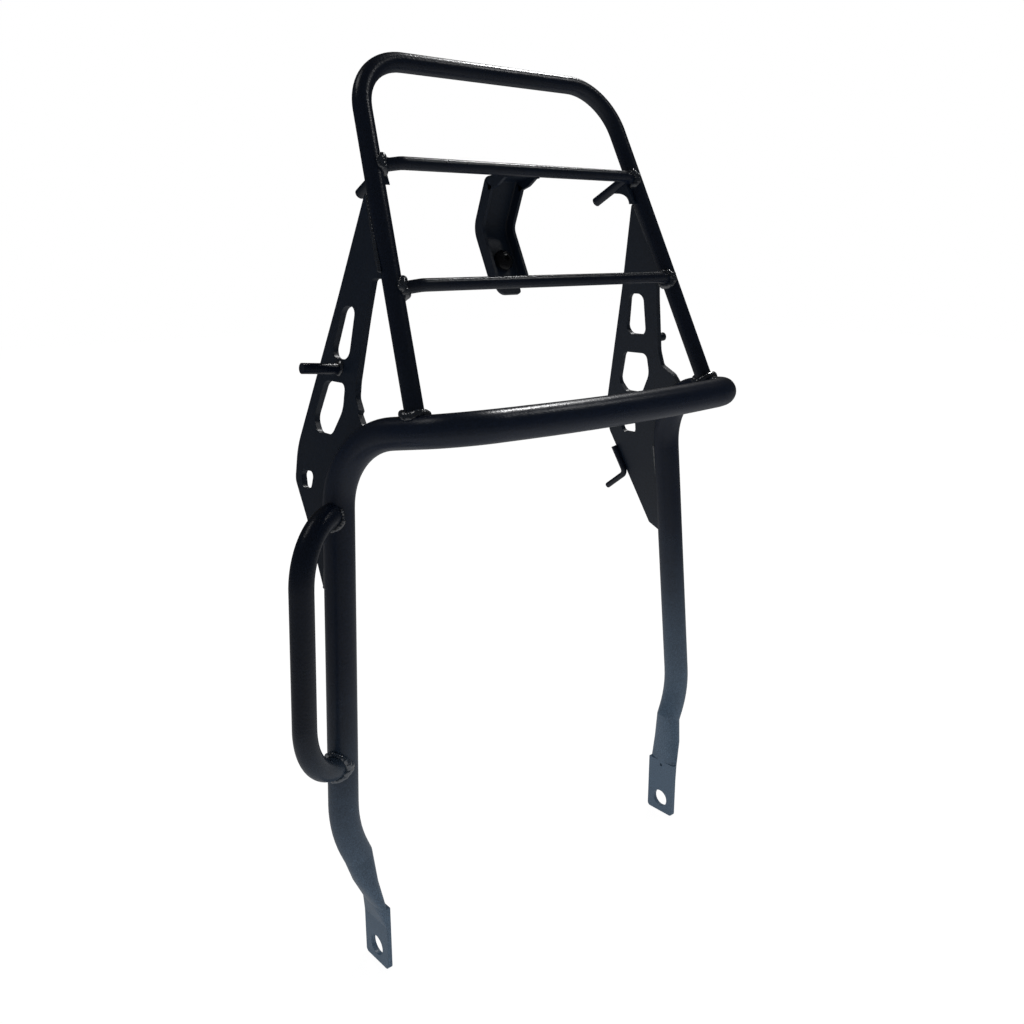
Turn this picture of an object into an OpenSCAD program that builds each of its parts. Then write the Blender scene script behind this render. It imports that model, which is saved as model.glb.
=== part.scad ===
// Motorcycle luggage rack: a bent hoop on two drilled feet carries a sloping rack frame,
// two slotted side plates, a folded centre bracket, four pegs, a hook and a lifting handle.
// The origin is midway between the two foot holes, +X to the rack's right, +Z up the legs.

/* [Main hoop] */
// Outside diameter of the hoop tube
main_d = 25; // [20:0.5:30]
// Half the distance between the leg centre lines at their upper bends
leg_top_x = 188; // [150:1:240]
// Half the distance between the leg centre lines where the feet are set in
leg_low_x = 209.4; // [170:0.2:260]
// How far the upper bends sit behind the foot holes
leg_top_y = 21; // [0:1:40]
// How far the lower bends sit behind the foot holes
leg_low_y = 5.5; // [0:0.5:20]
// Height of the upper bends above the foot holes
leg_top_z = 447.5; // [380:0.5:520]
// Height of the lower bends above the foot holes
leg_low_z = 122; // [118:1:160]
// Half the width of the hoop's front run, corner to corner
front_corner_x = 155; // [130:1:180]
// How far the front corners stand ahead of the foot holes
front_corner_y = 90; // [60:1:120]
// Height of the front run above the foot holes
front_z = 463.5; // [420:0.5:520]
// Radius that the front run is bowed to
front_bow_r = 1000; // [600:10:3000]
// Half the width over which the front run is bowed
bow_half = 100; // [60:1:104]
// Bend radius at the top of the legs
leg_bend_r = 62; // [50:1:66]
// Bend radius at the front corners
corner_bend_r = 50; // [40:1:54]
// Bend radius at the foot of the legs
foot_bend_r = 100; // [60:1:110]

/* [Feet] */
// Half the distance between the two flattened feet
foot_x = 184; // [160:1:200]
// Thickness of a flattened foot
foot_t = 4.5; // [4:0.5:8]
// Width of a flattened foot
foot_w = 34.5; // [30:1:45]
// Distance from a foot's hole to its bottom edge
foot_drop = 15.5; // [13:0.5:25]
// Height of the press line where the flat foot ends
foot_flat_z = 27; // [22:1:32]
// Height up to which a foot keeps its full width
foot_shoulder_z = 45; // [40:1:50]
// Thickness of a foot at its shoulder
foot_shoulder_t = 9.5; // [8:0.5:14]
// Height of the middle of the pressed length
foot_mid_z = 68; // [62:1:74]
// Thickness at the middle of the pressed length
foot_mid_t = 18; // [15:0.5:20]
// Width at the middle of the pressed length
foot_mid_w = 31.5; // [26:0.5:32]
// How far the pressed length leans out at its middle
foot_mid_out = 2.5; // [0:0.5:5]
// Height at which a foot has run out into the round tube
foot_top_z = 92; // [88:1:96]
// Corner radius of a foot
foot_corner_r = 3.5; // [1:0.5:8]
// Diameter of the holes in the feet
foot_hole_d = 18.5; // [8:0.5:20]
// Height and diameter of the small blind vent mark in a foot's inner face
foot_mark_z = 40.5; // [38:0.5:42]
foot_mark_d = 3.5; // [2:0.5:5]
// Sideways slope of the set-in stretch above a foot, a part of its height
foot_slope = 0.41; // [0.3:0.01:0.5]

/* [Rack frame] */
// Outside diameter of the rack frame tube
frame_d = 15; // [12:0.5:18]
// Half the width of the frame between its top corners
frame_top_x = 133.7; // [125:0.1:140]
// Height of the frame's top bar
frame_top_z = 729; // [660:1:800]
// How much the frame leans back for each unit of height
frame_lean = 0.4306; // [0.3:0.01:0.5]
// Bend radius of the frame's top corners
frame_bend_r = 48; // [35:1:60]
// Distance back along the hoop's arms, from its front corners to the frame's feet
frame_foot_back = 38.2; // [34:0.2:44]
// How far inside the arms' centre lines the frame's feet stand
frame_foot_in = 1; // [0:0.2:2]

/* [Crossbars] */
// Diameter of the crossbars
bar_d = 10; // [8:0.5:12]
// Drop from the frame's top bar to the upper crossbar
bar_drop = 82; // [70:1:95]
// Drop from the upper crossbar to the lower one
bar_gap = 89; // [80:1:100]
// How far the crossbars stand proud of the frame's centre plane
bar_proud = 7.6; // [5:0.1:10]
// Distance from a side tube's centre at which a crossbar starts to dip to it
bar_dip = 21; // [18:1:28]
// Bend radius of a crossbar's end
bar_bend_r = 14; // [8:1:20]

/* [Side plates] */
// Thickness of the side plates
plate_t = 5; // [3:0.5:6]
// How far outside the frame's side tubes the plates' upper ends are set
plate_top_out = 2.8; // [1:0.2:4]
// How far outside the legs' centre lines the plates' feet are set
plate_foot_out = 8.4; // [6:0.2:9]
// Height of the middle of the web between the two slots
plate_mid_z = 495; // [490:1:500]

/* [Pegs and hook] */
// Diameter of the four pegs
peg_d = 8.5; // [6:0.5:10]
// How far the side pegs stand out from the plates
side_peg_l = 33; // [15:1:60]
// How far back on the plates the side pegs are set
side_peg_y = 40; // [36:1:44]
// How far above the middle of the plates' webs the side pegs are set
side_peg_up = 1.5; // [0:0.5:2]
// How much the side pegs rise to their tips, in degrees
side_peg_rise = 5; // [0:1:10]
// How far inside the frame's side tubes the upper pegs are set
upper_peg_in = 11.8; // [11.8:0.1:14]
// How far the upper pegs reach behind the upper crossbar
upper_peg_l = 47; // [25:0.5:60]
// How much the upper pegs drop
upper_peg_drop = 27; // [0:1:30]
// Thickness of the gussets beside the upper pegs
gusset_t = 4; // [2:0.5:5]
// Diameter of the hook's rod
hook_d = 6; // [4:0.5:8]
// Length of the hook's leg along the plate
hook_leg = 31; // [20:1:36]
// Length of the hook's arm
hook_arm = 35; // [24:1:45]
// Angle between the hook's leg and its arm
hook_turn = 100; // [80:1:120]
// Distance down the plate's edge from its corner to the hook's upper end
hook_down = 19; // [12:0.5:30]
// How far the rod's centre lies beyond the plate's edge
hook_off = 1.6; // [1:0.1:2]
// How far the rod's centre lies inside the plate's inner face
hook_in = 2.4; // [1.5:0.1:2.4]
// Bend radius of the hook, to the middle of the rod
hook_bend_r = 7; // [5:0.5:10]

/* [Centre bracket] */
// Width of the bracket
bracket_w = 37; // [34:1:50]
// Thickness of the bracket's sheet
bracket_t = 3; // [2:0.5:4]
// Depth of the bracket's side flanges
bracket_flange = 12; // [8:0.5:14]
// Width of the bracket's end tongue
tongue_w = 25; // [20:1:30]
// Length of the bracket's end tongue
tongue_l = 14; // [8:1:18]
// Thread diameter of the bracket's screw
screw_d = 8; // [6:1:8]
// Length of the screw under its head
screw_l = 16; // [14:1:30]
// Height of the screw's head
head_h = 4.6; // [3.5:0.1:6]
// Distance from the bracket's fold to the screw
screw_down = 31; // [24:1:34]
// Width of the nut across its flats
nut_flats = 13; // [12:0.5:15]
// Height of the nut
nut_h = 6.5; // [4:0.5:8]
// Play of the screw in its hole, on the diameter
screw_clearance = 0.6; // [0.4:0.1:1.5]
// Diameter of the screw's domed head
head_d = 15; // [13:0.5:16]

/* [Lifting handle] */
// Outside diameter of the handle tube
handle_d = 19; // [16:0.5:22]
// Height of the handle's lower arm
handle_low_z = 181.5; // [170:0.5:200]
// Height of the handle's upper arm
handle_top_z = 389; // [340:1:390]
// How far the grip stands out from the leg
handle_out = 57; // [54:1:90]
// Direction of the handle, forward from straight sideways
handle_turn = 30; // [0:1:60]
// Bend radius of the handle's corners
handle_bend_r = 50; // [30:1:53]

/* [Welds] */
// Leg length of the weld fillets on the tubes
weld = 2.6; // [1.5:0.1:4]
// Leg length of the weld fillets on the plates
weld_small = 2; // [1:0.1:3]
// Length of the weld along the side pegs
side_peg_weld = 2.5; // [1.5:0.1:4]
// How deep the bevel at the start of the side pegs is
side_peg_bevel = 0.8; // [0.4:0.1:2]
// Length of the bead that runs on down the leg below the right plate
weld_run_out = 22; // [10:1:30]

/* [Hidden] */
$fn = 64;
bend_overlap = 0.4;
bend_swell = 0.03;
slice_t = 0.4;
foot_mark_deep = 1.5;
far = 400;
main_r = main_d / 2;
frame_r = frame_d / 2;
bar_r = bar_d / 2;
peg_r = peg_d / 2;
handle_r = handle_d / 2;
lean_angle = atan(frame_lean);

// Vector helpers
function unit(v) = v / norm(v);
function flip(p, side) = [side * p.x, p.y, p.z];
// Angle that a path turns through at b, on its way from a to c
function turn_at(a, b, c) = 180 - acos(unit(a - b) * unit(c - b));
// Distance from a corner to where its bend starts
function cut_at(a, b, c, r) = r * tan(turn_at(a, b, c) / 2);

// Points of the hoop's right half, from the foot up to the middle of its front
leg_low = [leg_low_x, leg_low_y, leg_low_z];
leg_top = [leg_top_x, leg_top_y, leg_top_z];
front_corner = [front_corner_x, -front_corner_y, front_z];
bow_angle = asin(bow_half / front_bow_r);
bow_end = [bow_half,
    -front_corner_y - (front_corner_x - bow_half) * tan(bow_angle), front_z];
// The straight run reaches a little into the bowed one
bow_overlap = [-bend_overlap * cos(bow_angle), -bend_overlap * sin(bow_angle), 0];
bow_centre_y = bow_end.y + front_bow_r * cos(bow_angle);
foot_end = [leg_low.x - foot_slope * (leg_low.z - foot_top_z), leg_low.y, foot_top_z];
hoop_half = [foot_end, leg_low, leg_top, front_corner, bow_end + bow_overlap];
hoop_radii = [foot_bend_r, leg_bend_r, corner_bend_r];

// The right foot of the frame, and a point on its right side tube at a height
frame_foot = front_corner + frame_foot_back * unit(leg_top - front_corner) - [frame_foot_in, 0, 0];
frame_spread = (frame_foot.x - frame_top_x) / (frame_top_z - frame_foot.z);
function side_tube(z) = frame_foot + (z - frame_foot.z) * [-frame_spread, frame_lean, 1];
bar_upper_z = frame_top_z - bar_drop;
bar_lower_z = bar_upper_z - bar_gap;
upper_peg_x = side_tube(bar_upper_z).x - upper_peg_in;
// Direction that stands square to the frame's plane, forwards and up
frame_normal = [0, -cos(lean_angle), sin(lean_angle)];

// A point on the leg's centre line at a height
function leg_at(z) = leg_low + (leg_top - leg_low) * (z - leg_low.z) / (leg_top.z - leg_low.z);

// The plates lean from the legs at their feet to the frame's side tubes at their tops
plate_top_z = 600;
plate_foot_z = 293;
plate_spread = (leg_at(plate_foot_z).x + plate_foot_out - side_tube(plate_top_z).x - plate_top_out)
    / (plate_top_z - plate_foot_z);
plate_tilt = atan(plate_spread);
plate_x = side_tube(plate_top_z).x + plate_top_out + plate_spread * (plate_top_z - plate_mid_z);

// A straight round bar from a to b
module bar(a, b, d) {
    taper(a, b, d, d);
}

// A straight round bar from a to b whose diameter runs from d_a to d_b
module taper(a, b, d_a, d_b) {
    v = b - a;
    translate(a)
        rotate([0, acos(v.z / norm(v)), atan2(v.y, v.x)])
            cylinder(d1 = d_a, d2 = d_b, h = norm(v));
}

// A round bend of radius r at the corner b of the path a, b, c
module bend(a, b, c, r, d) {
    u = unit(a - b);
    w = unit(c - b);
    turn = turn_at(a, b, c);
    centre = b + unit(u + w) * r / cos(turn / 2);
    x = unit(b + u * cut_at(a, b, c, r) - centre);
    z = cross(x, -u);
    y = -u;
    multmatrix([
        [x.x, y.x, z.x, centre.x],
        [x.y, y.y, z.y, centre.y],
        [x.z, y.z, z.z, centre.z],
        [0, 0, 0, 1]])
        rotate_extrude(angle = turn)
            translate([r, 0])
                circle(d = d);
}

// A bent round bar through a list of corners, with a bend radius for each inner corner
// Each bend is a hair thicker than the runs, whose ends lie just inside it
module bent_bar(points, radii, d) {
    last = len(points) - 1;
    cuts = [for (i = [0 : last])
        i == 0 || i == last ? 0
            : cut_at(points[i - 1], points[i], points[i + 1], radii[i - 1]) - bend_overlap];
    for (i = [0 : last - 1]) {
        along = unit(points[i + 1] - points[i]);
        bar(points[i] + along * cuts[i], points[i + 1] - along * cuts[i + 1], d);
    }
    for (i = [1 : last - 1])
        bend(points[i - 1], points[i], points[i + 1], radii[i - 1], d + 2 * bend_swell);
}

// Points of an arc that rounds the corner b of an outline
function corner_arc(a, b, c, r, step = 7) =
    let (
        u = unit(a - b),
        w = unit(c - b),
        half = acos(u * w) / 2,
        cut = r / tan(half),
        centre = b + unit(u + w) * r / sin(half),
        from = b + u * cut - centre,
        start = atan2(from.y, from.x),
        sweep = (u.x * w.y - u.y * w.x > 0 ? -1 : 1) * (180 - 2 * half),
        n = max(1, ceil(abs(sweep) / step)))
    [for (i = [0 : n]) centre + r * [cos(start + sweep * i / n), sin(start + sweep * i / n)]];

// An outline whose corners [x, y, r] are rounded to their own radius
function rounded(corners) = [
    for (i = [0 : len(corners) - 1])
        let (
            a = corners[(i + len(corners) - 1) % len(corners)],
            b = corners[i],
            c = corners[(i + 1) % len(corners)],
            at = [b.x, b.y])
        each b.z > 0 ? corner_arc([a.x, a.y], at, [c.x, c.y], b.z) : [at]];

// The round part of the hoop, thicker by grow all round
module hoop_tube(grow = 0) {
    d = main_d + 2 * grow;
    for (side = [-1, 1])
        bent_bar([for (p = hoop_half) flip(p, side)], hoop_radii, d);
    translate([0, bow_centre_y, front_z])
        rotate([0, 0, -90 - bow_angle])
            rotate_extrude(angle = 2 * bow_angle, $fn = 256)
                translate([front_bow_r, 0])
                    circle(d = d + 2 * bend_swell, $fn = 64);
}

// A slice of the pressed foot, w wide and t thick, with its inner face flush with the flat foot
module foot_slice(w, t, z, out = 0, back = 0) {
    translate([foot_x - foot_t / 2 + t / 2 + out, back, z])
        intersection() {
            scale([1, w / t, 1])
                cylinder(d = t, h = slice_t, center = true, $fn = 28);
            cube([t, w, slice_t], center = true);
        }
}

// The right foot, pressed from round to flat in stages, then trimmed
module foot() {
    hull() {
        translate(foot_end)
            rotate([0, 90 - atan2(1, foot_slope), 0])
                translate([0, 0, -slice_t])
                    cylinder(d = main_d - 0.1, h = slice_t, $fn = 40);
        foot_slice(foot_mid_w, foot_mid_t, foot_mid_z, foot_mid_out, leg_low_y / 2);
    }
    hull() {
        foot_slice(foot_mid_w, foot_mid_t, foot_mid_z, foot_mid_out, leg_low_y / 2);
        foot_slice(foot_w, foot_shoulder_t, foot_shoulder_z);
    }
    hull() {
        foot_slice(foot_w, foot_shoulder_t, foot_shoulder_z);
        translate([foot_x, 0, foot_flat_z])
            cube([foot_t, foot_w, slice_t], center = true);
    }
    translate([foot_x - foot_t / 2, 0, 0])
        rotate([90, 0, 90])
            linear_extrude(foot_t)
                polygon(rounded([
                    [-foot_w / 2, -foot_drop, foot_corner_r],
                    [foot_w / 2, -foot_drop, foot_corner_r],
                    [foot_w / 2, foot_shoulder_z, 0], [-foot_w / 2, foot_shoulder_z, 0]]));
}

// The hoop bent from one tube, its ends pressed flat into drilled feet
module main_hoop() {
    color("#15181c")
    difference() {
        union() {
            hoop_tube();
            foot();
            mirror([1, 0, 0]) foot();
        }
        for (side = [-1, 1]) {
            translate([side * foot_x, 0, 0])
                rotate([0, 90, 0])
                    cylinder(d = foot_hole_d, h = 4 * foot_t, center = true);
            translate([side * (foot_x - foot_t / 2), 0, foot_mark_z])
                rotate([0, 90, 0])
                    cylinder(d = foot_mark_d, h = 2 * foot_mark_deep, center = true);
        }
    }
}

// The frame's tube through its top corners, thicker by grow all round
module frame_tube(grow = 0) {
    low = frame_foot;
    top = side_tube(frame_top_z);
    bent_bar([flip(low, -1), flip(top, -1), top, low], [frame_bend_r, frame_bend_r],
        frame_d + 2 * grow);
}

// The frame's side tube alone, straight past its foot
module side_bar(side, grow = 0) {
    bar(flip(side_tube(frame_foot.z - 20), side), flip(side_tube(frame_top_z), side),
        frame_d + 2 * grow);
}

// The hoop's arm from the top of a leg to its front corner, straight through both bends
module arm_bar(side, grow = 0) {
    bar(flip(leg_top, side), flip(front_corner, side), main_d + 2 * grow);
}

// The leg's straight run, up to its upper bend
module leg_bar(side, grow = 0) {
    stop = leg_top - unit(leg_top - leg_low)
        * (cut_at(leg_low, leg_top, front_corner, leg_bend_r) - bend_overlap);
    bar(flip(leg_low, side), flip(stop, side), main_d + 2 * grow);
}

// The bend at the top of a leg
module leg_bend(side, grow = 0) {
    bend(flip(leg_low, side), flip(leg_top, side), flip(front_corner, side), leg_bend_r,
        main_d + 2 * bend_swell + 2 * grow);
}

// The hoop's front corner, between an arm and the front run
module front_bend(side) {
    bend(flip(leg_top, side), flip(front_corner, side), flip(bow_end, side), corner_bend_r,
        main_d + 2 * bend_swell);
}

// The rack frame, one tube bent to a U, its feet coped to the hoop's arms
module rack_frame() {
    color("#15181c")
    difference() {
        frame_tube();
        arm_bar(-1);
        arm_bar(1);
    }
}

// A crossbar that stands proud of the frame and dips to its side tubes at both ends
module crossbar_rod(z, grow = 0) {
    seat = side_tube(z);
    knee = seat + bar_proud * frame_normal - [bar_dip, 0, 0];
    bent_bar([flip(seat, -1), flip(knee, -1), knee, seat], [bar_bend_r, bar_bend_r],
        bar_d + 2 * grow);
}

// The end of a crossbar that dips to a side tube
module crossbar_dip(z, side, grow = 0) {
    seat = side_tube(z);
    knee = seat + bar_proud * frame_normal - [bar_dip, 0, 0];
    bar(flip(knee, side), flip(seat, side), bar_d + 2 * grow);
}

module crossbar(z) {
    color("#15181c")
    difference() {
        crossbar_rod(z);
        side_bar(-1);
        side_bar(1);
    }
}

// Places a section drawn across Y and up Z as a slab from x to x + w
module slab(x, w) {
    translate([x, 0, 0])
        rotate([90, 0, 90])
            linear_extrude(w)
                children();
}

// Places a flat shape drawn across Y and up the plate, on one side of the rack
module on_plate(side, thick) {
    mirror([side < 0 ? 1 : 0, 0, 0])
        translate([plate_x, 0, plate_mid_z])
            rotate([0, -plate_tilt, 0])
                rotate([90, 0, 90])
                    translate([0, 0, -thick / 2])
                        linear_extrude(thick)
                            children();
}

// A point on the middle of the right plate, at y across and h up from the web between its slots
function plate_point(y, h) = [
    plate_x - h * sin(plate_tilt), y, plate_mid_z + h * cos(plate_tilt)];

// Outline of a side plate, measured from the foot holes and from the web between its slots
module plate_outline(tail, heel) {
    polygon(rounded(concat(tail, [
        [93, -68, 50], [54, 55, 300], [31.5, 133, 3],
        [24, 138, 0], [-7, 72, 0], [7, 72, 3], [10, 45, 200], [13.5, -6, 20]],
        heel, [[-12, -50, 0], [8, -62, 0], [18, -85, 0]])));
}

// A side plate's whole outline
module plate_shape(side) {
    plate_outline(side < 0 ? left_tail : right_tail, side < 0 ? left_heel : right_heel);
}

// The right plate's foot runs lower down the leg than the left one's, which makes room for
// the handle
right_tail = [[16, -206, 0], [28, -205, 2], [48, -195, 3], [93, -97, 12]];
left_tail = [[20, -172, 0], [30, -171, 3], [40, -158, 5], [66, -123, 30], [91, -95, 12]];
// The plates' heels above the hoop's arms are not alike
right_heel = [[11, -20, 5], [-3, -28, 7], [-9, -37, 0]];
left_heel = [[12.5, -18, 8], [5, -27.5, 1], [6.5, -30, 1], [0, -37, 1], [-6, -40, 0]];

// The two slots and the small hole in a side plate
module plate_windows(side) {
    polygon(rounded([[26.5, 50, 7], [45, 50, 8], [55, 9, 8], [28, 9, 8]]));
    polygon(rounded([[29.5, -9.3, 6], [60.5, -9.3, 8], [71.5, -41, 10], [63, -51.5, 8],
        [41, -51.5, 10], [28.5, -30, 20]]));
    polygon(rounded(side < 0
        ? [[62.5, -84, 5], [84, -85.5, 4], [77.5, -99.5, 4], [64, -98.5, 4]]
        : [[54, -80, 5], [77, -82, 5], [73, -96.5, 4.5], [55, -96.5, 6]]));
}

// A slotted side plate, coped to the hoop, the frame and nothing else
module side_plate(side) {
    color("#14171b")
    difference() {
        on_plate(side, plate_t) difference() {
            plate_shape(side);
            plate_windows(side);
        }
        leg_bar(side);
        side_bar(side);
        leg_bend(side);
    }
}

// Root and direction of the right upper peg, behind the upper crossbar
upper_peg_root = [upper_peg_x, side_tube(bar_upper_z).y - 4, bar_upper_z + 3.5];
upper_peg_way = [0, cos(upper_peg_drop), -sin(upper_peg_drop)];

module upper_peg_rod(side, grow = 0) {
    bar(flip(upper_peg_root, side), flip(upper_peg_root + upper_peg_way * upper_peg_l, side),
        peg_d + 2 * grow);
}

// An upper peg, coped to the upper crossbar and the gusset
module upper_peg(side) {
    color("#17191d")
    difference() {
        upper_peg_rod(side);
        crossbar_dip(bar_upper_z, side);
    }
}

// The middle run of the upper crossbar, straight past its bends
module upper_bar_run(grow = 0) {
    run = side_tube(bar_upper_z) + bar_proud * frame_normal;
    bar(flip(run, -1), run, bar_d + 2 * grow);
}

// A small gusset with a hollow edge, between an upper peg, the crossbar and the side tube
module peg_gusset(side) {
    corner = side_tube(bar_upper_z);
    color("#15181c")
    difference() {
        slab(side * (upper_peg_x + peg_r) + (side < 0 ? 0 : -gusset_t), gusset_t)
            translate([corner.y, corner.z])
                difference() {
                    polygon([[0, 2], [14, -10], [0, -20]]);
                    translate([14.5, -20.5]) circle(r = 9.5);
                }
        upper_peg_rod(side);
        side_bar(side);
        crossbar_dip(bar_upper_z, side);
    }
}

// A side peg starts in the middle of the plate, is clear of its weld at the seat, and ends at
// the tip
side_peg_way = [cos(side_peg_rise), 0, sin(side_peg_rise)];
side_peg_root = plate_point(side_peg_y, side_peg_up);
side_peg_seat = side_peg_root + (plate_t / 2 + side_peg_weld) * side_peg_way;
side_peg_tip = side_peg_root + (plate_t / 2 + side_peg_l) * side_peg_way;

// The stretch of a side peg between the plate and the seat, from its diameter at the root
module side_peg_start(side, root_d) {
    taper(flip(side_peg_root, side), flip(side_peg_seat, side), root_d, peg_d);
}

// A side peg with a flat end, standing out to the side from the plate's outer face
// Its start is bevelled, and the weld fills the bevel
module side_peg_rod(side) {
    side_peg_start(side, peg_d - 2 * side_peg_bevel);
    bar(flip(side_peg_seat, side), flip(side_peg_tip, side), peg_d);
}

module side_peg(side) {
    color("#17191d")
    difference() {
        side_peg_rod(side);
        on_plate(side, plate_t) square(2 * far, center = true);
    }
}

// Direction down the right plate's lower rear edge, in the plate's own plane
plate_corner = [right_tail[3].x, right_tail[3].y];
hook_way = unit([right_tail[2].x, right_tail[2].y] - plate_corner);
// The rod lies along the inner edge of the plate's cut side, and is coped to it
hook_start = plate_corner + hook_way * hook_down + [-hook_way.y, hook_way.x] * hook_off;

function hook_point(p) = plate_point(p.x, p.y) - [plate_t / 2 + hook_in, 0, 0];

module hook_rod(grow = 0) {
    knee = hook_start + hook_way * hook_leg;
    turned = [
        -hook_way.x * cos(hook_turn) - hook_way.y * sin(hook_turn),
        hook_way.x * sin(hook_turn) - hook_way.y * cos(hook_turn)];
    bent_bar([hook_point(hook_start), hook_point(knee), hook_point(knee + turned * hook_arm)],
        [hook_bend_r], hook_d + 2 * grow);
}

// The hook, one bent rod welded along the plate's rear edge
module lashing_hook() {
    color("#17191d")
    difference() {
        hook_rod();
        on_plate(1, plate_t) plate_shape(1);
    }
}

// The bracket's corners behind the upper crossbar, seen from the side, outer face of the sheet
bar_upper = [side_tube(bar_upper_z).y, bar_upper_z] + bar_proud * [frame_normal.y, frame_normal.z];
bracket_line = [
    bar_upper + [0, -1], bar_upper + [25, -4], bar_upper + [42, -46.5], bar_upper + [16.8, -101.5]];

// Unit vector that points to the outer side of the sheet, on its stretch from corner i
function bracket_side(i) =
    let (v = unit(bracket_line[i + 1] - bracket_line[i])) [-v.y, v.x];

// The bracket's line moved inwards by t, with sharp corners
function bracket_inset(t) = [
    bracket_line[0] - t * bracket_side(0),
    for (i = [1, 2])
        let (m = unit(bracket_side(i - 1) + bracket_side(i)))
        bracket_line[i] - t / (m * bracket_side(i)) * m,
    bracket_line[3] - t * bracket_side(2)];

// A band of the sheet's section between two distances from its outer face
module bracket_band(outer, inner, last = 3) {
    a = bracket_inset(outer);
    b = bracket_inset(inner);
    polygon(concat(
        [for (i = [0 : last]) a[i]],
        [for (i = [last : -1 : 0]) b[i]]));
}

// Places a piece on the front face of the bracket's lower web, at the screw, pointing forwards
module on_web() {
    v = unit(bracket_line[3] - bracket_line[2]);
    p = bracket_line[2] + v * screw_down - bracket_t * bracket_side(2);
    translate([0, p.x, p.y])
        rotate([atan2(-v.y, -v.x), 0, 0])
            children();
}

// The centre bracket, a pressed channel with a narrow tongue at its lower end
module centre_bracket() {
    color("#101317")
    difference() {
        union() {
            slab(-bracket_w / 2, bracket_w) bracket_band(0, bracket_t);
            for (side = [-1, 1])
                slab(side * (bracket_w - bracket_t) / 2 - bracket_t / 2, bracket_t)
                    bracket_band(0, bracket_flange);
        }
        upper_bar_run();
        on_web() cylinder(d = screw_d + screw_clearance, h = 4 * bracket_t, center = true);
        // The flanges' front ends are cut back under the web
        slab(-bracket_w, 2 * bracket_w)
            translate(bar_upper)
                polygon([[-8, -4.6], [2, -4.6], [15, -17], [-8, -17]]);
        // The flanges stop above the tongue
        for (side = [-1, 1])
            translate([side * (tongue_w / 2 + far), 0, bracket_line[3].y])
                cube([2 * far, 2 * far, 2 * tongue_l], center = true);
    }
}

// The screw through the bracket, with a domed head in front
module bracket_screw() {
    dome_r = (head_h * head_h + head_d * head_d / 4) / (2 * head_h);
    color("#101215")
    on_web() {
        intersection() {
            cylinder(d = head_d, h = head_h);
            translate([0, 0, head_h - dome_r]) sphere(r = dome_r);
        }
        translate([0, 0, -screw_l]) cylinder(d = screw_d, h = screw_l + head_h / 2);
    }
}

// The hexagon nut behind the bracket
module bracket_nut() {
    color("#101215")
    on_web() translate([0, 0, -bracket_t - nut_h])
        linear_extrude(nut_h)
            difference() {
                circle(d = nut_flats / cos(30), $fn = 6);
                circle(d = screw_d);
            }
}

// The handle's corner points on the left leg, its arms aimed at the leg's centre line
handle_way = [-cos(handle_turn), -sin(handle_turn), 0];
handle_low = flip(leg_at(handle_low_z), -1);
handle_top = flip(leg_at(handle_top_z), -1);

module handle_tube(grow = 0) {
    out = handle_way * handle_out;
    bent_bar([handle_low, handle_low + out, handle_top + out, handle_top],
        [handle_bend_r, handle_bend_r], handle_d + 2 * grow);
}

// One of the handle's two bends, the lower one first
module handle_bend(arm, grow = 0) {
    out = handle_way * handle_out;
    near = arm == 0 ? handle_low : handle_top;
    distant = arm == 0 ? handle_top : handle_low;
    bend(near, near + out, distant + out, handle_bend_r, handle_d + 2 * bend_swell + 2 * grow);
}

// The lifting handle on the left leg, one bent tube coped to the leg
module lifting_handle() {
    color("#15181c")
    difference() {
        handle_tube();
        leg_bar(-1);
        leg_bend(-1);
    }
}

// Weld fillets around the feet of the rack frame
module frame_foot_welds() {
    color("#202429")
    for (side = [-1, 1])
        difference() {
            intersection() {
                bar(flip(frame_foot, side), flip(side_tube(frame_foot.z + 40), side),
                    frame_d + 2 * weld);
                arm_bar(side, weld);
            }
            side_bar(side);
            arm_bar(side);
            front_bend(side);
        }
}

// Weld fillets around both ends of a crossbar
module crossbar_welds(z) {
    color("#202429")
    for (side = [-1, 1])
        difference() {
            intersection() {
                crossbar_dip(z, side, weld_small);
                side_bar(side, weld_small);
            }
            crossbar_dip(z, side);
            side_bar(side);
            if (z == bar_upper_z) {
                upper_peg_rod(side);
                slab(side * (upper_peg_x + peg_r) + (side < 0 ? 0 : -gusset_t), gusset_t)
                    translate([side_tube(z).y, z])
                        square(2 * peg_d + 2 * far, center = true);
            }
        }
}

// Weld fillets on both faces of a side plate, along the leg and the side tube
module plate_welds(side) {
    low = side < 0 ? left_tail[0].y : right_tail[0].y - weld_run_out;
    color("#202429") {
        difference() {
            intersection() {
                on_plate(side, plate_t + 2 * weld_small)
                    polygon([[14, low], [60, low], [60, -90], [18, -90]]);
                leg_bar(side, weld_small);
            }
            on_plate(side, plate_t) plate_shape(side);
            leg_bar(side);
        }
        difference() {
            intersection() {
                on_plate(side, plate_t + 2 * weld_small)
                    polygon([[-6, 76], [22, 134], [50, 134], [24, 76]]);
                side_bar(side, weld_small);
            }
            on_plate(side, plate_t) square(2 * far, center = true);
            side_bar(side);
        }
    }
}

// Weld fillets around the roots of the side pegs
module side_peg_welds() {
    color("#202429")
    for (side = [-1, 1])
        difference() {
            side_peg_start(side,
                peg_d + 2 * weld_small * (plate_t / 2 + side_peg_weld) / side_peg_weld);
            side_peg_rod(side);
            on_plate(side, plate_t) square(2 * far, center = true);
        }
}

// Weld fillets around the two ends of the handle
module handle_welds() {
    color("#202429")
    for (arm = [0, 1])
        difference() {
            intersection() {
                handle_bend(arm, weld);
                leg_bar(-1, weld);
            }
            handle_bend(arm);
            leg_bar(-1);
            leg_bend(-1);
        }
}

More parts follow.
